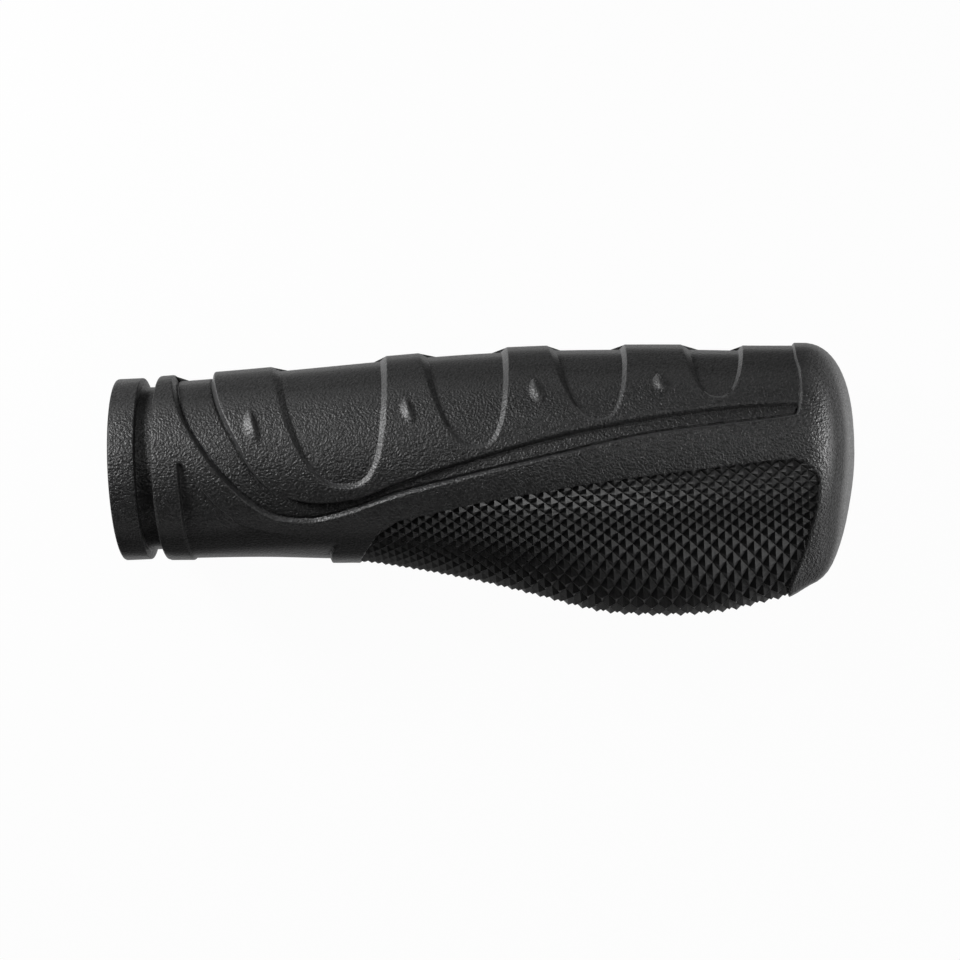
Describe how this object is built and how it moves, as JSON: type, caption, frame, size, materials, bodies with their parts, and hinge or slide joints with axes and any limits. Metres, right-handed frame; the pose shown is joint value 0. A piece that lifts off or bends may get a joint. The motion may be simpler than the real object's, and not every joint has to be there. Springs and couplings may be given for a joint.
{
  "type": "bicycle handlebar grip",
  "caption": "One-piece moulded rubber handlebar grip: ringed collar, finger ridges on the front, a diamond-textured palm wing at the back and a closed domed outer end over a blind bore.",
  "frame": {"origin": "on the bar's axis, in the plane of the open inner end face", "axes": "+X runs along the bar to the closed outer end, +Y is the finger side, -Y is the palm wing, and +Z is the broad side that faces the viewer in the picture; the grip is the same on +Z and -Z"},
  "size_m": [0.1296, 0.0487, 0.0369],
  "materials": {
    "rubber": "fine grained matte rubber, smooth facets on the palm texture"
  },
  "bodies": {
    "root": {"grip": "rubber"}
  },
  "joints": []
}
